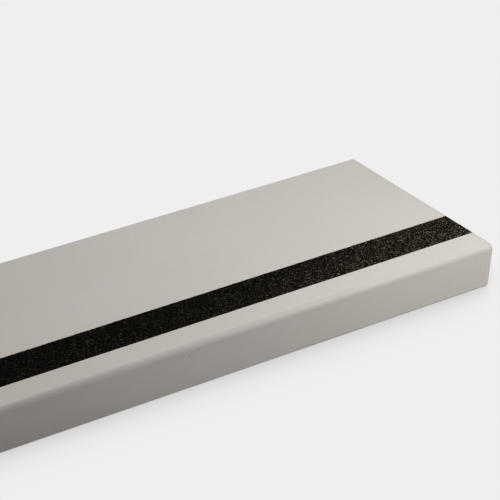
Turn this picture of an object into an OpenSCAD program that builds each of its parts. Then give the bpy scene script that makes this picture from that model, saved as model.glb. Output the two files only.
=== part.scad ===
// Rubber stair tread with a turned-down nose and an inlaid grit strip.
// One moulded rubber tread and one grit strip bonded into its channel, in millimetres.
// The section is drawn with its underside level, at y = 0: x runs from the front of the
// nose to the back edge, and y is up. The finished part is then tilted the way it lies
// by itself on a level floor, on the lip of its nose and its back edge.

/* [Tread] */
// Length of the tread
tread_length = 914; // [300:1:1830]
// Depth from the front of the nose to the back edge
tread_depth = 270; // [220:1:330]
// Thickness of the rubber at the nose
nose_gauge = 5.5; // [4:0.1:7]
// Thickness of the rubber at the back edge
back_gauge = 3.2; // [2.5:0.1:4]

/* [Nose] */
// Height from the walking surface down to the lip
nose_height = 55; // [40:0.5:65]
// Radius of the round along the front edge
nose_radius = 6.5; // [4:0.5:10]
// Distance that the front face leans back at the lip
nose_lean = 4.5; // [1:0.1:6]
// Thickness of the rubber at the lip
lip_gauge = 4.5; // [3:0.1:6]
// Radius of the lip's outer corner
lip_radius = 1.5; // [0.5:0.1:2.5]
// Radius in the inner corner, between the nose and the underside
inner_radius = 1.5; // [0.5:0.1:3]

/* [Grit strip] */
// Width of the strip
strip_width = 50; // [20:1:60]
// Distance from the front of the nose to the strip
strip_setback = 37; // [20:1:60]
// Thickness of the strip
strip_gauge = 1.8; // [1.2:0.1:2.4]
// Depth of the channel that the strip lies in
channel_depth = 1.6; // [1:0.1:2]
// Gap on each side of the strip
strip_clearance = 0.15; // [0.05:0.05:0.5]

/* [Hidden] */
$fn = 120;

// How far a cut runs on past the faces that it goes through
overcut = 2;
// Size of a corner's sliver against the corner itself, so that it crosses both sides
sliver_overrun = 1.5;
// How far a rounding circle crosses the sides that it blends
blend_lap = 0.0005;

// The inside of the nose stands square to the underside, in this plane
nose_inside = nose_lean + lip_gauge;
// How far the lip hangs below the underside
lip_drop = nose_height - nose_gauge;

// Corners of the section before they are rounded
front_corner = [0, nose_gauge];
lip_front = [nose_lean, -lip_drop];
lip_back = [nose_inside, -lip_drop];
inner_corner = [nose_inside, 0];
back_bottom = [tread_depth, 0];
back_top = [tread_depth, back_gauge];

// The walking surface falls a little to the back, because the rubber gets thinner
surface_fall = atan2(nose_gauge - back_gauge, tread_depth);
// The tilt at which the lip and the back edge both touch a level floor
rest_tilt = atan2(lip_drop, tread_depth - nose_inside);

function unit(v) = v / norm(v);
// Half the angle at corner b, between the sides to a and c
function half_angle(a, b, c) = acos(unit(a - b) * unit(c - b)) / 2;
// Centre of the circle that rounds corner b
function round_centre(a, b, c, r) =
    b + unit(unit(a - b) + unit(c - b)) * r / sin(half_angle(a, b, c));
// A point of the section after the part has tipped back to rest
function tipped(p) = [
    p.x * cos(rest_tilt) + p.y * sin(rest_tilt),
    p.y * cos(rest_tilt) - p.x * sin(rest_tilt)
];

nose_centre = round_centre(back_top, front_corner, lip_front, nose_radius);
lip_centre = round_centre(front_corner, lip_front, lip_back, lip_radius);
// Front, back and floor of the tipped section
rest_front = min(tipped(nose_centre).x - nose_radius, tipped(lip_centre).x - lip_radius);
rest_back = tipped(back_top).x;
rest_floor = tipped(back_bottom).y;

// The sliver between corner b and the circle that rounds it. Cut from a corner, it leaves
// the round, and it runs on past both sides so that the cut goes right through.
module corner_sliver(a, b, c, r) {
    centre = round_centre(a, b, c, r);
    reach = r / tan(half_angle(a, b, c));
    kite = [centre, b + unit(a - b) * reach, b, b + unit(c - b) * reach];
    difference() {
        polygon([for (p = kite) centre + (p - centre) * sliver_overrun]);
        translate(centre) circle(r + blend_lap);
    }
}

// Places a shape on the walking surface, with its x along the surface
module on_surface(distance) {
    translate(front_corner) rotate(-surface_fall) translate([distance, 0]) children();
}

module channel_section() {
    on_surface(strip_setback - strip_clearance)
        translate([0, -channel_depth])
            square([strip_width + 2 * strip_clearance, channel_depth + overcut]);
}

module strip_section() {
    on_surface(strip_setback)
        translate([0, -channel_depth])
            square([strip_width, strip_gauge]);
}

// The space behind the nose and below the underside, with the round of its corner
module hollow_section() {
    below_lip = -lip_drop - overcut;
    behind_back = tread_depth + overcut;
    difference() {
        polygon([inner_corner, [nose_inside, below_lip], [behind_back, below_lip], [behind_back, 0]]);
        corner_sliver(lip_back, inner_corner, back_bottom, inner_radius);
    }
}

// The outer form of the tread, less the hollow behind its nose and the strip's channel
module tread_section() {
    difference() {
        polygon([front_corner, lip_front, [tread_depth, -lip_drop], back_top]);
        hollow_section();
        corner_sliver(back_top, front_corner, lip_front, nose_radius);
        corner_sliver(front_corner, lip_front, lip_back, lip_radius);
        channel_section();
    }
}

// Runs a section along the tread and lays it on the floor, centred on the origin
module laid_on_floor() {
    translate([0, -(rest_front + rest_back) / 2, -rest_floor])
        rotate([-rest_tilt, 0, 0])
            rotate([90, 0, 90])
                linear_extrude(tread_length, center = true) children();
}

module tread() {
    color([0.80, 0.77, 0.73]) laid_on_floor() tread_section();
}

module grit_strip() {
    color([0.09, 0.09, 0.08]) laid_on_floor() strip_section();
}

tread();
grit_strip();
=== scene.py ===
# Rubber stair tread with a grit strip bonded along its front, lying by itself on a pale floor.
# All sizes are in metres. Y runs from the nose to the back edge, X along the tread.
import math
from collections import namedtuple

import bpy
from mathutils import Matrix, Vector


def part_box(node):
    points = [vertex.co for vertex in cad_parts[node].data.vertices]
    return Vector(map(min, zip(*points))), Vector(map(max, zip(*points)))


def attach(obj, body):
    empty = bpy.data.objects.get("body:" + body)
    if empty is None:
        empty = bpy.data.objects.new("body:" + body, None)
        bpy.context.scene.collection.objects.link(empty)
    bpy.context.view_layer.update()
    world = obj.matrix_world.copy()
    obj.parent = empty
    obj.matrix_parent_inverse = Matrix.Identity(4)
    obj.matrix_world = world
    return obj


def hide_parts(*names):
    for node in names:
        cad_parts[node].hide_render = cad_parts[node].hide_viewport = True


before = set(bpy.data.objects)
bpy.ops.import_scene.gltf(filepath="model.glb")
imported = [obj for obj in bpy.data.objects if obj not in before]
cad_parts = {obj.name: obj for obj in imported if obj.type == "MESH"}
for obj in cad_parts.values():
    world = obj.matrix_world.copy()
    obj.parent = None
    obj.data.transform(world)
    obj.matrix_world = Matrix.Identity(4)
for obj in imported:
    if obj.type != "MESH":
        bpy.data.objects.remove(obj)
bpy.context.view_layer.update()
print("frame loaded:", sorted(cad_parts))


# Node trees

class Wire:  # an output socket that sums can be written with
    def __init__(self, tree, socket):
        self.tree = tree
        self.socket = socket

    def output(self, name):  # another output of the same node
        return Wire(self.tree, self.socket.node.outputs[name])

    def isVector(self):
        return self.socket.type == "VECTOR"

    def maths(self, operation, *others):
        return self.tree.maths(operation, self, *others)

    def combined(self, operation, first, second):
        ofVectors = any(isinstance(side, Wire) and side.isVector() for side in (first, second))
        combine = self.tree.vectorMaths if ofVectors else self.tree.maths
        return combine(operation, first, second)

    def __add__(self, other):
        return self.combined("ADD", self, other)

    def __radd__(self, other):
        return self.combined("ADD", other, self)

    def __sub__(self, other):
        return self.combined("SUBTRACT", self, other)

    def __rsub__(self, other):
        return self.combined("SUBTRACT", other, self)

    def __mul__(self, other):
        return self.combined("MULTIPLY", self, other)

    def __rmul__(self, other):
        return self.combined("MULTIPLY", other, self)

    def __truediv__(self, other):
        return self.combined("DIVIDE", self, other)

    def __rtruediv__(self, other):
        return self.combined("DIVIDE", other, self)

    def __pow__(self, power):
        return self.maths("POWER", power)

    def centred(self):  # noise runs from 0 to 1, and this either side of 0
        return self - 0.5

    def between(self, low, high):  # 0 at low, 1 at high, smooth and held outside them
        return self.tree.node(
            "ShaderNodeMapRange",
            {"interpolation_type": "SMOOTHSTEP"},
            {"Value": self, "From Min": low, "From Max": high},
        )


class Tree:  # adds the nodes of one tree
    def __init__(self, nodeTree):
        self.nodeTree = nodeTree

    def node(self, kind, settings=None, sockets=None):
        made = self.nodeTree.nodes.new(kind)
        for name, value in (settings or {}).items():
            if name == "stops":
                self.setStops(made.color_ramp, value)
            else:
                setattr(made, name, value)
        for key, value in (sockets or {}).items():
            named = [s for s in made.inputs if s.enabled and key in (s.name, s.identifier)]
            socket = made.inputs[key] if isinstance(key, int) else named[0]
            if isinstance(value, Wire):
                self.nodeTree.links.new(value.socket, socket)
            else:
                socket.default_value = value
        shown = [s for s in made.outputs if s.enabled]
        return Wire(self, shown[0]) if shown else made

    def setStops(self, ramp, stops):  # stops: (position, colour), in order
        while len(ramp.elements) < len(stops):
            ramp.elements.new(1)
        for element, (position, colour) in zip(ramp.elements, stops):
            element.position = position
            element.color = colour

    def maths(self, operation, *values):
        return self.node("ShaderNodeMath", {"operation": operation}, dict(enumerate(values)))

    def vectorMaths(self, operation, *values):  # a plain number counts for all three directions
        sides = [value if isinstance(value, (Wire, tuple)) else (value,) * 3 for value in values]
        return self.node("ShaderNodeVectorMath", {"operation": operation}, dict(enumerate(sides)))

    def mix(self, factor, first, second):
        return self.node(
            "ShaderNodeMix", {"data_type": "RGBA"}, {"Factor": factor, "A": first, "B": second}
        )

    def noise(self, place, scale, detail=2.0, roughness=0.5):
        sockets = {"Vector": place, "Scale": scale, "Detail": detail, "Roughness": roughness}
        return self.node("ShaderNodeTexNoise", {}, sockets)

    def mottling(self, place, low, high, **kind):  # noise with more contrast
        return self.noise(place, **kind).between(low, high)

    def stretched(self, place, scales):
        return self.node("ShaderNodeMapping", {}, {"Vector": place, "Scale": scales})

    def attribute(self, name, kind="FLOAT"):
        return self.node("GeometryNodeInputNamedAttribute", {"data_type": kind}, {"Name": name})

    def stored(self, geometry, name, value, kind="FLOAT", domain="POINT"):
        return self.node(
            "GeometryNodeStoreNamedAttribute",
            {"data_type": kind, "domain": domain},
            {"Geometry": geometry, "Name": name, "Value": value},
        )

    def bump(self, height, distance, strength=1.0, under=None):  # under: a bump that this one lies on
        sockets = {"Height": height, "Distance": distance, "Strength": strength}
        if under:
            sockets["Normal"] = under
        return self.node("ShaderNodeBump", {}, sockets)


def newMaterial(name):
    material = bpy.data.materials.new(name)
    material.use_nodes = True
    material.node_tree.nodes.clear()
    return material, Tree(material.node_tree)


def newGeometryTree(name, inputs):  # inputs: {name: (socket type, value)}
    nodeTree = bpy.data.node_groups.new(name, "GeometryNodeTree")
    interface = nodeTree.interface
    interface.new_socket("Geometry", in_out="INPUT", socket_type="NodeSocketGeometry")
    for label, (kind, value) in inputs.items():
        socket = interface.new_socket(label, in_out="INPUT", socket_type="NodeSocket" + kind)
        if value is not None:
            socket.default_value = value
    interface.new_socket("Geometry", in_out="OUTPUT", socket_type="NodeSocketGeometry")
    tree = Tree(nodeTree)
    return tree, tree.node("NodeGroupInput")


def finishTree(tree, given, geometry):
    whole = tree.node("GeometryNodeRealizeInstances", {}, {"Geometry": geometry})
    dressed = tree.node(
        "GeometryNodeSetMaterial", {}, {"Geometry": whole, "Material": given.output("Material")}
    )
    tree.node("NodeGroupOutput", {}, {0: dressed})


def grown(name, base, nodeTree, values):  # the tree's result on base, as a plain mesh object
    source = bpy.data.objects.new(name + "_source", base)
    bpy.context.scene.collection.objects.link(source)
    modifier = source.modifiers.new("nodes", "NODES")
    modifier.node_group = nodeTree
    for item in nodeTree.interface.items_tree:
        if item.in_out == "INPUT" and item.name in values:
            modifier[item.identifier] = values[item.name]
    evaluated = source.evaluated_get(bpy.context.evaluated_depsgraph_get())
    mesh = bpy.data.meshes.new_from_object(evaluated)
    mesh.name = name
    mesh.materials.clear()  # empty slots of the tree's own primitives
    mesh.materials.append(values["Material"])
    mesh.polygons.foreach_set("material_index", [0] * len(mesh.polygons))
    bpy.data.objects.remove(source)
    piece = bpy.data.objects.new(name, mesh)
    bpy.context.scene.collection.objects.link(piece)
    return piece


def flatFace(name, left, right, front, back, height=0.0):
    mesh = bpy.data.meshes.new(name)
    corners = [(left, front), (right, front), (right, back), (left, back)]
    mesh.from_pydata([(x, y, height) for x, y in corners], [], [(0, 1, 2, 3)])
    return mesh


def triangles(piece):
    return sum(len(polygon.vertices) - 2 for polygon in piece.data.polygons)


# The section of the tread

treadSizes = {
    "depth": 0.270,  # from the front of the nose to the back edge
    "noseGauge": 0.0055,  # thickness at the nose
    "backGauge": 0.0032,  # and at the back edge
    "noseHeight": 0.055,  # from the walking surface down to the lip
    "noseRadius": 0.0065,
    "noseLean": 0.0045,  # how far the front face leans back at the lip
    "lipGauge": 0.0045,  # thickness at the lip
    "lipRadius": 0.0015,  # of the lip's outer corner
    "innerRadius": 0.0015,  # between the nose and the underside
    "cornerRadius": 0.0005,  # the corners of the back edge and the inside of the lip
    "stripWidth": 0.050,
    "stripSetback": 0.037,  # from the front of the nose
    "stripClearance": 0.00015,  # on each side of the strip
    "channelDepth": 0.0016,
    "channelEdge": 0.00035,  # round of the channel's top edges
    "channelFoot": 0.000175,  # and of the corners of its floor
    "pointSpacing": 0.006,  # along the straight stretches of the section
    "pointSupport": 0.0004,  # how close to a round they have their first point
    "ringSpacing": 0.006,  # along the tread
    "endRings": 4,  # round the edge of each end
    "endRound": 0.00025,
    "endSupport": 0.00005,  # how far inside that edge the end has one more ring
    "waviness": 0.00006,
    "waveScale": 14.0,
}
boxLow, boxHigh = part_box("tread")
treadLength = boxHigh.x - boxLow.x
noseInside = treadSizes["noseLean"] + treadSizes["lipGauge"]
lipDrop = treadSizes["noseHeight"] - treadSizes["noseGauge"]
restTilt = math.atan2(lipDrop, treadSizes["depth"] - noseInside)
gaugeTaper = math.atan2(treadSizes["noseGauge"] - treadSizes["backGauge"], treadSizes["depth"])
surfaceFall = restTilt + gaugeTaper  # the slope of the walking surface


def tipped(y, z):  # a point of the section, tipped back by the tilt at rest
    across = y * math.cos(restTilt) + z * math.sin(restTilt)
    up = z * math.cos(restTilt) - y * math.sin(restTilt)
    return Vector((across, up))


# The back edge is the furthest back and the lowest of the section
restShift = Vector((
    boxHigh.y - tipped(treadSizes["depth"], treadSizes["backGauge"]).x,
    boxLow.z - tipped(treadSizes["depth"], 0).y,
))


def atRest(y, z):
    return tipped(y, z) + restShift


def onSurface(distance, height):  # a point of the section, from the front corner along the surface
    y = distance * math.cos(gaugeTaper) + height * math.sin(gaugeTaper)
    z = height * math.cos(gaugeTaper) - distance * math.sin(gaugeTaper)
    return atRest(y, treadSizes["noseGauge"] + z)


frontCorner = onSurface(0, 0)
# A frame on the walking surface: origin at the front corner of the right end, Z off the surface
surfaceFrame = Matrix.Translation((boxHigh.x, *frontCorner)) @ Matrix.Rotation(-surfaceFall, 4, "X")


# A corner of an outline: ground is 1 if the face that follows it is ground, and otherwise 0
Corner = namedtuple("Corner", "place radius ground", defaults=(0,))
# Steps round a corner, by its turn and by its radius
arcSteps = {"least": 4, "perRadian": 6, "perMetre": 600}


def roundedOutline(corners, spacing, support):
    # Goes round the corners anticlockwise: the place, inward direction and ground of each point
    points = []
    for index, corner in enumerate(corners):
        before, after, following = (corners[(index + ahead) % len(corners)] for ahead in (-1, 1, 2))
        arriving = (corner.place - before.place).normalized()
        leaving = (after.place - corner.place).normalized()
        turn = -arriving.angle_signed(leaving)  # anticlockwise is above 0
        reach = corner.radius * math.tan(abs(turn) / 2)
        start = corner.place - arriving * reach
        wanted = abs(turn) * arcSteps["perRadian"] + corner.radius * arcSteps["perMetre"]
        steps = max(arcSteps["least"], round(wanted))
        side = math.copysign(1, turn)
        startOut = Vector((arriving.y, -arriving.x)) * side
        centre = start - startOut * corner.radius
        for step in range(steps + 1):
            out = Matrix.Rotation(turn * step / steps, 2) @ startOut
            blended = before.ground + (corner.ground - before.ground) * step / steps
            points.append((centre + out * corner.radius, -out * side, blended))
        # the straight run to the next corner, with a point close to each end
        nextTurn = abs(leaving.angle_signed((following.place - after.place).normalized()))
        runStart = corner.place + leaving * reach
        runEnd = after.place - leaving * after.radius * math.tan(nextTurn / 2)
        inward = Vector((-leaving.y, leaving.x))
        inner = (runEnd - runStart).length - 2 * support
        if inner > support:
            parts = max(1, round(inner / spacing))
            for part in range(parts + 1):
                along = support + inner * part / parts
                points.append((runStart + leaving * along, inward, corner.ground))
    return points


def outlineMesh(name, points):  # a closed line of edges, with its own data on each point
    mesh = bpy.data.meshes.new(name)
    count = len(points)
    mesh.from_pydata(
        [(place.x, place.y, 0) for place, inward, ground in points],
        [(index, (index + 1) % count) for index in range(count)],
        [],
    )
    mesh.attributes.new("inward", "FLOAT_VECTOR", "POINT")
    mesh.attributes.new("ground", "FLOAT", "POINT")
    for index, (place, inward, ground) in enumerate(points):
        mesh.attributes["inward"].data[index].vector = (0, inward.x, inward.y)
        mesh.attributes["ground"].data[index].value = ground
    return mesh


def sweepTree():
    # Runs an outline along X, with rounded ends, and gives the surface a slight waviness
    tree, given = newGeometryTree("sweptSection", {
        "Length": ("Float", 1.0),
        "Rings": ("Int", 100),
        "End Rings": ("Int", 4),
        "End Round": ("Float", 0.0003),
        "End Support": ("Float", 0.00005),
        "Waviness": ("Float", 0.0001),
        "Wave Scale": ("Float", 10.0),
        "Wave Detail": ("Float", 3.0),
        "Material": ("Material", None),
    })
    length, rings = given.output("Length"), given.output("Rings")
    endRings, endRound = given.output("End Rings"), given.output("End Round")
    # The rings first stand evenly from -1 to 1, and then go to their places along X
    line = tree.node("GeometryNodeCurvePrimitiveLine", {}, {"Start": (-1, 0, 0), "End": (1, 0, 0)})
    spine = tree.node("GeometryNodeResampleCurve", {"mode": "COUNT"}, {"Curve": line, "Count": rings})
    place = tree.node("ShaderNodeSeparateXYZ", {}, {"Vector": tree.node("GeometryNodeInputPosition")})
    fromMiddle = place.maths("ABSOLUTE")
    # The last rings at each end go round a quarter circle, and one more stands inside it on the cap
    endShare = (endRings + 1) * 2 / (rings - 1)
    turned = (fromMiddle - 1 + endShare) / endShare * (endRings + 1) / endRings
    angle = turned.maths("MAXIMUM", 0).maths("MINIMUM", 1) * (math.pi / 2)
    beyond = (turned - 1).maths("MAXIMUM", 0) * endRings
    inset = endRound * (1 - angle.maths("COSINE")) + beyond * given.output("End Support")
    straight = (fromMiddle / (1 - endShare)).maths("MINIMUM", 1)
    reach = (length / 2 - endRound) * straight + endRound * angle.maths("SINE")
    ringPlace = tree.node("ShaderNodeCombineXYZ", {}, {"X": reach * place.maths("SIGN")})
    marked = tree.stored(spine, "inset", inset)
    placed = tree.node("GeometryNodeSetPosition", {}, {"Geometry": marked, "Position": ringPlace})
    outline = tree.node("GeometryNodeMeshToCurve", {}, {"Mesh": given.output("Geometry")})
    # half a turn, because the sweep lays the outline on the rings upside down
    upright = tree.node(
        "GeometryNodeTransform", {}, {"Geometry": outline, "Rotation": (0, 0, math.pi)}
    )
    swept = tree.node(
        "GeometryNodeCurveToMesh",
        {},
        {"Curve": placed, "Profile Curve": upright, "Fill Caps": True},
    )
    position = tree.node("GeometryNodeInputPosition")
    wave = tree.noise(position, given.output("Wave Scale"), given.output("Wave Detail")).centred()
    depth = tree.attribute("inset") + wave * given.output("Waviness")
    pushed = tree.node(
        "GeometryNodeSetPosition",
        {},
        {"Geometry": swept, "Offset": tree.attribute("inward", "FLOAT_VECTOR") * depth},
    )
    smooth = tree.node("GeometryNodeSetShadeSmooth", {}, {"Geometry": pushed, "Shade Smooth": True})
    finishTree(tree, given, smooth)
    return tree.nodeTree


def sweptPiece(name, tree, points, sizes, material):
    piece = grown(name, outlineMesh(name + "_outline", points), tree, {
        "Length": treadLength,
        "Rings": round(treadLength / sizes["ringSpacing"]),
        "End Rings": sizes["endRings"],
        "End Round": sizes["endRound"],
        "End Support": sizes["endSupport"],
        "Waviness": sizes["waviness"],
        "Wave Scale": sizes["waveScale"],
        "Material": material,
    })
    print(name, triangles(piece), "triangles")
    return piece


# The rubber

rubberLook = {
    "colour": (0.560, 0.523, 0.483, 1),
    "dusk": (0.520, 0.484, 0.444, 1),  # what the mottling goes to
    "speck": (0.300, 0.280, 0.235, 1),
    "groundFace": (0.400, 0.380, 0.350, 1),  # the underside, ground for the adhesive
    "roughness": 0.52,
    "specular": 0.5,
    # the mottling of its colour, and how much of each kind there is
    "patches": {"scale": 11, "detail": 3, "low": 0.35, "high": 0.65},
    "clouds": {"scale": 140, "detail": 3, "low": 0.30, "high": 0.70},
    "pores": {"scale": 1900, "detail": 2, "low": 0.25, "high": 0.75},
    "shares": {"patches": 0.28, "clouds": 0.18, "pores": 0.16},
    "roughnessShares": {"clouds": 0.05, "pores": 0.08, "ground": 0.30},
    "skin": {"scale": 420, "detail": 3, "roughness": 0.6},
    "skinBump": {"distance": 0.00003},
    "poreBump": {"distance": 0.000015, "strength": 0.6},
    # one cell in five has a speck, and its size is a share of the cell
    "speckCells": 26,
    "speckChance": 0.19,
    "speckEdge": (0.014, 0.034),
    "speckStrength": 0.7,
    # grinding marks along the underside
    "markStretch": (9, 620, 620),
    "marks": {"scale": 1, "detail": 4, "roughness": 0.6, "low": 0.3, "high": 0.7},
    "markShare": 0.35,
    "markBump": {"distance": 0.00012, "strength": 0.8},
}


def rubberMaterial(look):
    material, tree = newMaterial("moulded_rubber")
    place = tree.node("ShaderNodeTexCoord").output("Object")
    patches, clouds, pores = (tree.mottling(place, **look[kind]) for kind in look["shares"])
    shares, roughness = look["shares"], look["roughnessShares"]
    shade = patches * shares["patches"] + clouds * shares["clouds"] + pores * shares["pores"]
    # a few small dark specks, each in a cell of its own
    cells = tree.node("ShaderNodeTexVoronoi", {}, {"Vector": place, "Scale": look["speckCells"]})
    pick = tree.node("ShaderNodeSeparateColor", {}, {"Color": cells.output("Color")})
    near = 1 - cells.between(*look["speckEdge"])
    specks = near * pick.maths("LESS_THAN", look["speckChance"])
    # the ground underside, with marks along the tread
    ground = tree.node("ShaderNodeAttribute", {"attribute_name": "ground"}).output("Fac")
    marks = tree.mottling(tree.stretched(place, look["markStretch"]), **look["marks"])
    smoothColour = tree.mix(shade, look["colour"], look["dusk"])
    spottedColour = tree.mix(specks * look["speckStrength"], smoothColour, look["speck"])
    groundColour = tree.mix(marks * look["markShare"], look["groundFace"], look["dusk"])
    skin = tree.bump(tree.noise(place, **look["skin"]), **look["skinBump"])
    poreSkin = tree.bump(pores, under=skin, **look["poreBump"])
    uneven = clouds.centred() * roughness["clouds"] + pores.centred() * roughness["pores"]
    shader = tree.node("ShaderNodeBsdfPrincipled", {}, {
        "Base Color": tree.mix(ground, spottedColour, groundColour),
        "Roughness": look["roughness"] + uneven + ground * roughness["ground"],
        "Normal": tree.bump(marks * ground, under=poreSkin, **look["markBump"]),
        "Specular IOR Level": look["specular"],
    })
    tree.node("ShaderNodeOutputMaterial", {}, {"Surface": shader})
    return material


def treadOutline(sizes):
    width = sizes["stripWidth"] + 2 * sizes["stripClearance"]
    channelFront = sizes["stripSetback"] - sizes["stripClearance"]
    channelBack = channelFront + width
    channelFloor = -sizes["channelDepth"]
    # the inside of the nose and the underside are ground
    corners = [
        Corner(atRest(sizes["depth"], 0), sizes["cornerRadius"]),
        Corner(atRest(sizes["depth"], sizes["backGauge"]), sizes["cornerRadius"]),
        Corner(onSurface(channelBack, 0), sizes["channelEdge"]),
        Corner(onSurface(channelBack, channelFloor), sizes["channelFoot"]),
        Corner(onSurface(channelFront, channelFloor), sizes["channelFoot"]),
        Corner(onSurface(channelFront, 0), sizes["channelEdge"]),
        Corner(frontCorner, sizes["noseRadius"]),
        Corner(atRest(sizes["noseLean"], -lipDrop), sizes["lipRadius"]),
        Corner(atRest(noseInside, -lipDrop), sizes["cornerRadius"], ground=1),
        Corner(atRest(noseInside, 0), sizes["innerRadius"], ground=1),
    ]
    return roundedOutline(corners, sizes["pointSpacing"], sizes["pointSupport"])


def makeTread(sizes, sweep):
    return sweptPiece("tread_moulding", sweep, treadOutline(sizes), sizes, rubberMaterial(rubberLook))


# The binder of the grit strip

binderSizes = {
    "top": -0.00015,  # height against the walking surface
    "edge": 0.00035,  # round of its long edges
    "foot": 0.00018,  # and of the two at its bottom
    "pointSpacing": 0.0025,
    "pointSupport": 0.0002,
    "ringSpacing": 0.0025,
    "endRings": 3,
    "endRound": 0.0001,
    "endSupport": 0.00002,
    "waviness": 0.00025,
    "waveScale": 520.0,
}
binderLook = {
    "dark": (0.018, 0.0165, 0.0135, 1),
    "pale": (0.028, 0.0255, 0.0210, 1),
    "lumps": {"scale": 1100, "detail": 3, "roughness": 0.6},
    "lumpRange": (0.3, 0.7),  # where the lumps' noise is dark and where it is pale
    "crumbs": {"scale": 5200},
    "crumbShare": 0.4,  # of the bump
    "bump": {"distance": 0.00025},
    "roughness": 0.55,
    "crumbRoughness": 0.25,
    "specular": 0.12,
}


def binderMaterial(look):
    material, tree = newMaterial("grit_binder")
    place = tree.node("ShaderNodeTexCoord").output("Object")
    lumps = tree.noise(place, **look["lumps"])
    crumbs = tree.noise(place, **look["crumbs"])
    shader = tree.node("ShaderNodeBsdfPrincipled", {}, {
        "Base Color": tree.mix(lumps.between(*look["lumpRange"]), look["dark"], look["pale"]),
        "Roughness": look["roughness"] + crumbs * look["crumbRoughness"],
        "Normal": tree.bump(lumps + crumbs * look["crumbShare"], **look["bump"]),
        "Specular IOR Level": look["specular"],
    })
    tree.node("ShaderNodeOutputMaterial", {}, {"Surface": shader})
    return material


def binderOutline(sizes):
    front = treadSizes["stripSetback"]
    back = front + treadSizes["stripWidth"]
    bottom = -treadSizes["channelDepth"]
    corners = [
        Corner(onSurface(back, bottom), sizes["foot"]),
        Corner(onSurface(back, sizes["top"]), sizes["edge"]),
        Corner(onSurface(front, sizes["top"]), sizes["edge"]),
        Corner(onSurface(front, bottom), sizes["foot"]),
    ]
    return roundedOutline(corners, sizes["pointSpacing"], sizes["pointSupport"])


def makeBinder(sizes, sweep):
    return sweptPiece("grit_binder", sweep, binderOutline(sizes), sizes, binderMaterial(binderLook))


# The single grains of the strip, set in the binder

grainSizes = {
    "edgeInset": 0.00055,  # between the grains' middles and the strip's edge
    "lengths": 4,  # the grains are made in this many lengths along the strip
    # two grades of grain: spacing, half sizes, how far the middles lie over or under the binder
    "coarse": {"Spacing": 0.00122, "Small": 0.00040, "Large": 0.00088, "Sunk": 0.00022, "Seed": 40},
    "fine": {"Spacing": 0.00082, "Small": 0.00018, "Large": 0.00034, "Sunk": 0.00010, "Seed": 140},
    "seedStep": 10,  # from one length to the next, more than the draws of one
}
# a grain is a block or an eight-sided chip, stretched and with its corners pushed about
chipShape = {
    "blockSide": 1.35,  # against the grain's half size
    "chipRadius": 1.15,
    "stretch": 0.25,
    "push": 0.55,  # against the smallest half size
    "sizePower": 2,  # a higher power leaves fewer large grains
    "lastPick": 2,  # picks from 0 on go round the two kinds, so two in three are eight-sided
    "crowding": 6,  # points tried for each square of the spacing
    "mapTilt": (0.30, 0.35, 0.0),  # the chip seen with none of its faces edge-on
    "mapScale": 0.36,  # from a chip's size to a cell of its own on the map
    "mapMiddle": 0.5,  # of the cell
}
# The baked textures go through this map, on which each grain has a cell to itself and keeps its tone
bakeMap = "OFBake"
grainLook = {
    # how pale the grains are: most are dark brown, a few are beige
    "shades": [
        (0.00, (0.012, 0.0108, 0.0078, 1)),
        (0.42, (0.031, 0.0275, 0.0204, 1)),
        (0.70, (0.078, 0.0695, 0.0520, 1)),
        (0.88, (0.145, 0.1300, 0.1000, 1)),
        (1.00, (0.250, 0.2250, 0.1790, 1)),
    ],
    "patches": {"scale": 240},
    "patchShare": 0.55,
    # painted light: a slow noise leaves the strip paler towards its right end and darker towards its
    # left, where less lamp light falls
    "drift": {"scale": 1.5, "detail": 1},
    "paintedFalloffFrom": (37.96, 0.0, 0.0),  # the part of the noise that the strip lies in, which gives that painted falloff
    "driftMiddle": 0.62,  # the noise's value at which the grains stay as they are
    "paintedFrontLight": 3.2,  # painted light: how much paler the grains are for each metre towards the nose
    "facets": {"scale": 6500},
    "facetBump": {"distance": 0.00003, "strength": 0.6},
    "roughness": 0.22,
    "dullness": 0.35,  # how much rougher the dullest grains are
    "specular": 0.25,
}
# how far back the middle of the strip lies
stripMiddle = onSurface(treadSizes["stripSetback"] + treadSizes["stripWidth"] / 2, 0).x


def grainMaterial(look):
    material, tree = newMaterial("grit_grain")
    place = tree.node("ShaderNodeTexCoord").output("Object")
    shade = tree.node("ShaderNodeAttribute", {"attribute_name": "shade"}).output("Fac")
    gloss = tree.node("ShaderNodeAttribute", {"attribute_name": "gloss"}).output("Fac")
    patches = tree.noise(place, **look["patches"]).centred()
    # painted light: the grains paler towards the strip's right end and darker towards its left
    drift = tree.noise(place + look["paintedFalloffFrom"], **look["drift"]) - look["driftMiddle"]
    across = tree.node("ShaderNodeSeparateXYZ", {}, {"Vector": place}).output("Y")
    # painted light: the grains paler towards the strip's front edge and darker towards its back
    paintedFrontLight = (stripMiddle - across) * look["paintedFrontLight"]
    paleness = shade + patches * look["patchShare"] + drift + paintedFrontLight
    shader = tree.node("ShaderNodeBsdfPrincipled", {}, {
        "Base Color": tree.node("ShaderNodeValToRGB", {"stops": look["shades"]}, {"Fac": paleness}),
        "Roughness": look["roughness"] + gloss * look["dullness"],
        "Normal": tree.bump(tree.noise(place, **look["facets"]), **look["facetBump"]),
        "Specular IOR Level": look["specular"],
    })
    tree.node("ShaderNodeOutputMaterial", {}, {"Surface": shader})
    return material


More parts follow.
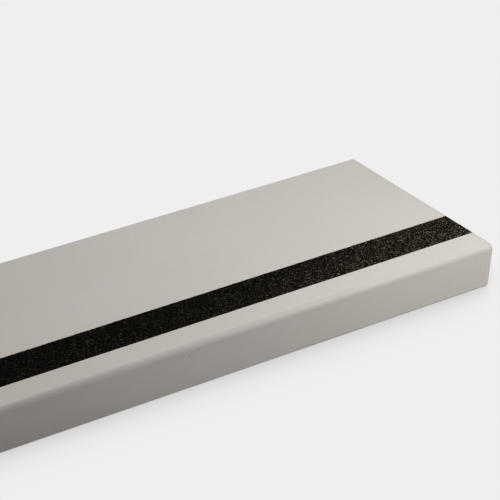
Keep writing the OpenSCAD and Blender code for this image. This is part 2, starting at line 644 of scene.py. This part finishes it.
def chipKinds(tree):
    # The two kinds of chip to pick from, each with its spot in a cell of the map
    block = tree.node("GeometryNodeMeshCube", {}, {"Size": (chipShape["blockSide"],) * 3})
    eightSided = tree.node(
        "GeometryNodeMeshUVSphere", {}, {"Segments": 4, "Rings": 2, "Radius": chipShape["chipRadius"]}
    )
    seen = tree.node("ShaderNodeVectorRotate", {"rotation_type": "EULER_XYZ"}, {
        "Vector": tree.node("GeometryNodeInputPosition"),
        "Rotation": chipShape["mapTilt"],
    })
    spot = seen * chipShape["mapScale"] + chipShape["mapMiddle"]
    kinds = tree.node("GeometryNodeJoinGeometry")
    for chip in (block, eightSided):
        laidOut = tree.stored(chip, "spot", spot, "FLOAT_VECTOR")
        whole = tree.node("GeometryNodeGeometryToInstance", {}, {"Geometry": laidOut})
        tree.nodeTree.links.new(whole.socket, kinds.socket.node.inputs[0])
    return kinds


def mapCells(tree, points):
    # A cell for each point, in rows on a square map: the cell's corner, and the side of all cells
    count = tree.node(
        "GeometryNodeAttributeDomainSize", {"component": "POINTCLOUD"}, {"Geometry": points}
    )
    cellRow = count.maths("SQRT").maths("CEIL")
    index = tree.node("GeometryNodeInputIndex")
    corner = tree.node("ShaderNodeCombineXYZ", {}, {
        "X": index.maths("MODULO", cellRow) / cellRow,
        "Y": (index / cellRow).maths("FLOOR") / cellRow,
    })
    return corner, 1 / cellRow


def grainTree():
    # Scatters grains over a flat face
    tree, given = newGeometryTree("gritGrains", {
        "Spacing": ("Float", 0.0008),
        "Small": ("Float", 0.0003),
        "Large": ("Float", 0.0006),
        "Sunk": ("Float", 0.0002),
        "Seed": ("Int", 0),
        "Material": ("Material", None),
    })
    spacing, seed = given.output("Spacing"), given.output("Seed")
    small, large = given.output("Small"), given.output("Large")
    # what is drawn at random, each with a seed of its own
    draws = ("place", "height", "shade", "gloss", "size", "chip", "turn", "stretch", "push")

    def drawn(name, kind, low, high, **others):
        sockets = {"Min": low, "Max": high, "Seed": seed + draws.index(name), **others}
        return tree.node("FunctionNodeRandomValue", {"data_type": kind}, sockets)

    points = tree.node("GeometryNodeDistributePointsOnFaces", {"distribute_method": "POISSON"}, {
        "Mesh": given.output("Geometry"),
        "Distance Min": spacing,
        "Density Max": chipShape["crowding"] / (spacing * spacing),
        "Seed": seed,
    })
    height = tree.node("ShaderNodeCombineXYZ", {}, {
        "Z": drawn("height", "FLOAT", -1.0, 1.0) * given.output("Sunk"),
    })
    placed = tree.node("GeometryNodeSetPosition", {}, {"Geometry": points, "Offset": height})
    for name in ("shade", "gloss"):
        placed = tree.stored(placed, name, drawn(name, "FLOAT", 0.0, 1.0))
    corner, side = mapCells(tree, points)
    placed = tree.stored(placed, "cell", corner, "FLOAT_VECTOR")
    size = small + drawn("size", "FLOAT", 0.0, 1.0) ** chipShape["sizePower"] * (large - small)
    least, most = (1 - chipShape["stretch"],) * 3, (1 + chipShape["stretch"],) * 3
    scattered = tree.node("GeometryNodeInstanceOnPoints", {}, {
        "Points": placed,
        "Instance": chipKinds(tree),
        "Pick Instance": True,
        "Instance Index": drawn("chip", "INT", 0, chipShape["lastPick"]),
        "Rotation": drawn("turn", "FLOAT_VECTOR", (0, 0, 0), (math.tau,) * 3),
        "Scale": size * drawn("stretch", "FLOAT_VECTOR", least, most),
    })
    whole = tree.node("GeometryNodeRealizeInstances", {}, {"Geometry": scattered})
    # the corners of a grain are drawn by their own index, so that each goes its own way
    own = tree.node("GeometryNodeInputIndex")
    push = drawn("push", "FLOAT_VECTOR", (-1, -1, -1), (1, 1, 1), ID=own) * (small * chipShape["push"])
    chipped = tree.node("GeometryNodeSetPosition", {}, {"Geometry": whole, "Offset": push})
    flat = tree.node("GeometryNodeSetShadeSmooth", {}, {"Geometry": chipped, "Shade Smooth": False})
    onMap = tree.attribute("cell", "FLOAT_VECTOR") + tree.attribute("spot", "FLOAT_VECTOR") * side
    mapped = tree.stored(flat, bakeMap, onMap, "FLOAT2", "CORNER")
    finishTree(tree, given, mapped)
    return tree.nodeTree


def makeGrains(sizes):
    scatter = grainTree()
    material = grainMaterial(grainLook)
    inset = sizes["edgeInset"]
    front = treadSizes["stripSetback"] + inset
    back = treadSizes["stripSetback"] + treadSizes["stripWidth"] - inset
    length = (treadLength - 2 * inset) / sizes["lengths"]
    pieces = []
    for number in range(sizes["lengths"]):
        start = -treadLength + inset + length * number
        gap = sizes["fine"]["Spacing"] if number else 0  # to the last grains of the length before
        # the grains are scattered in the surface frame, on the binder's top
        face = flatFace("grain_face", start + gap, start + length, front, back, binderSizes["top"])
        for grade in ("coarse", "fine"):
            seed = sizes[grade]["Seed"] + number * sizes["seedStep"]
            values = {**sizes[grade], "Seed": seed, "Material": material}
            grains = grown(f"grit_{grade}_{number + 1}", face, scatter, values)
            grains.data.transform(surfaceFrame)
            print(grains.name, triangles(grains), "triangles")
            pieces.append(grains)
    return pieces


# Floor, light and camera

studio = {
    "floorSide": 60.0,
    "paperTone": (0.867, 0.867, 0.867, 1),  # the floor and the backdrop, as the camera sees them
    "shadowTone": (0.05, 0.05, 0.05, 1),
    "shadowReach": 0.30,  # how far from the tread the floor can be darker
    "shadowSamples": 32,
    "shadowCore": -0.2,  # openness of the floor at which the shadow would be full
    "shadowEdge": 0.92,  # and at which it ends
    "bounceTone": (0.60, 0.60, 0.60, 1),  # what the floor throws back on the tread
    "worldLight": 0.08,  # the even light from all round
    "toe": 0.030,  # tones under this are pressed towards black
    "toeSlope": 0.1,  # how steep the tones rise under it
    "toeBlend": 0.006,  # how softly the curve bends there
    "curveStep": 0.0075,  # between the points that draw the toe
    "curvePoints": 10,  # and how many there are
}
# place and aim in the surface frame, size, power in watts
lamps = {
    "near": ((0.15, -0.30, 0.50), (-0.3, 0.1, 0.0), 0.25, 3.61),
    "backLeft": ((-1.4, 0.5, 1.0), (-0.3, 0.1, 0.0), 1.0, 10.43),
    "backRight": ((0.5, 1.0, 1.0), (-0.3, 0.1, 0.0), 1.0, 8.57),
    "low": ((0.3, -1.2, -0.05), (-0.3, 0.0, -0.03), 0.6, 3.93),
}
cameraView = {
    "place": (-1.4543, -1.6424, 1.1593),  # in the surface frame
    "azimuth": math.radians(-34.225),
    "elevation": math.radians(28.24),
    "roll": math.radians(0.498),
    "lens": 154.87,  # in millimetres
    "clipEnd": 100.0,
}


def addLamp(name, place, target, size, power):
    light = bpy.data.lights.new(name, "AREA")
    light.shape = "SQUARE"
    light.size = size
    light.energy = power
    aim = (Vector(target) - Vector(place)).to_track_quat("-Z", "Y").to_matrix().to_4x4()
    lamp = bpy.data.objects.new(name, light)
    lamp.matrix_world = surfaceFrame @ Matrix.Translation(place) @ aim
    lamp.visible_camera = False
    bpy.context.scene.collection.objects.link(lamp)


def makeFloor():
    half = studio["floorSide"] / 2
    mesh = flatFace("floor", -half, half, -half, half)
    floor = bpy.data.objects.new("floor", mesh)
    bpy.context.scene.collection.objects.link(floor)
    # The camera sees even paper, darker close to the tread, and the lamps light a plain pale floor
    material, tree = newMaterial("floor_paper")
    occlusion = tree.node(
        "ShaderNodeAmbientOcclusion",
        {"samples": studio["shadowSamples"]},
        {"Distance": studio["shadowReach"]},
    )
    openness = occlusion.output("AO").between(studio["shadowCore"], studio["shadowEdge"])
    tone = tree.mix(openness, studio["shadowTone"], studio["paperTone"])
    shown = tree.node("ShaderNodeEmission", {}, {"Color": tone})
    bouncing = tree.node("ShaderNodeBsdfDiffuse", {}, {"Color": studio["bounceTone"]})
    forCamera = tree.node("ShaderNodeLightPath").output("Is Camera Ray")
    surface = tree.node("ShaderNodeMixShader", {}, {0: forCamera, 1: bouncing, 2: shown})
    tree.node("ShaderNodeOutputMaterial", {}, {"Surface": surface})
    mesh.materials.append(material)


def makeWorld():
    world = bpy.data.worlds.new("studio")
    world.use_nodes = True
    world.node_tree.nodes.clear()
    tree = Tree(world.node_tree)
    seen = tree.node("ShaderNodeBackground", {}, {"Color": studio["paperTone"], "Strength": 1.0})
    light = tree.node("ShaderNodeBackground", {}, {
        "Color": (1, 1, 1, 1),
        "Strength": studio["worldLight"],
    })
    forCamera = tree.node("ShaderNodeLightPath").output("Is Camera Ray")
    surface = tree.node("ShaderNodeMixShader", {}, {0: forCamera, 1: light, 2: seen})
    tree.node("ShaderNodeOutputWorld", {}, {"Surface": surface})
    bpy.context.scene.world = world


def toned(tone):  # deep tones are darkened, as in a contrasty print, and the others keep their steps
    toe, slope, blend = studio["toe"], studio["toeSlope"], studio["toeBlend"]

    def above(value):  # a soft bend at the toe
        return blend * math.log(1 + math.exp((value - toe) / blend))

    return (slope * tone + (1 - slope) * (above(tone) - above(0))) / (1 - (1 - slope) * toe)


def setTones():
    settings = bpy.context.scene.view_settings
    settings.view_transform = "Standard"
    settings.use_curve_mapping = True
    points = settings.curve_mapping.curves[3].points  # the curve of all three colours together
    for number in range(studio["curvePoints"]):
        tone = studio["curveStep"] * (number + 1)
        points.new(tone, toned(tone))
    for point in points:
        point.handle_type = "VECTOR"
    settings.curve_mapping.update()


def makeCamera(view):
    camera = bpy.data.objects.new("camera", bpy.data.cameras.new("camera"))
    camera.data.lens = view["lens"]
    camera.data.clip_end = view["clipEnd"]
    heading = Matrix.Rotation(view["azimuth"], 4, "Z")
    pitch = Matrix.Rotation(math.pi / 2 - view["elevation"], 4, "X")
    roll = Matrix.Rotation(view["roll"], 4, "Z")
    camera.matrix_world = surfaceFrame @ Matrix.Translation(view["place"]) @ heading @ pitch @ roll
    bpy.context.scene.collection.objects.link(camera)
    bpy.context.scene.camera = camera


makeCamera(cameraView)
makeFloor()
makeWorld()
for lampName, setting in lamps.items():
    addLamp(lampName, *setting)
setTones()
print("camera, floor and lights placed")

sweep = sweepTree()
tread = makeTread(treadSizes, sweep)
strip = [makeBinder(binderSizes, sweep), *makeGrains(grainSizes)]
print("pieces made")

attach(tread, "root")
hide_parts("tread")
for piece in strip:
    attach(piece, "root")
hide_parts("grit_strip")
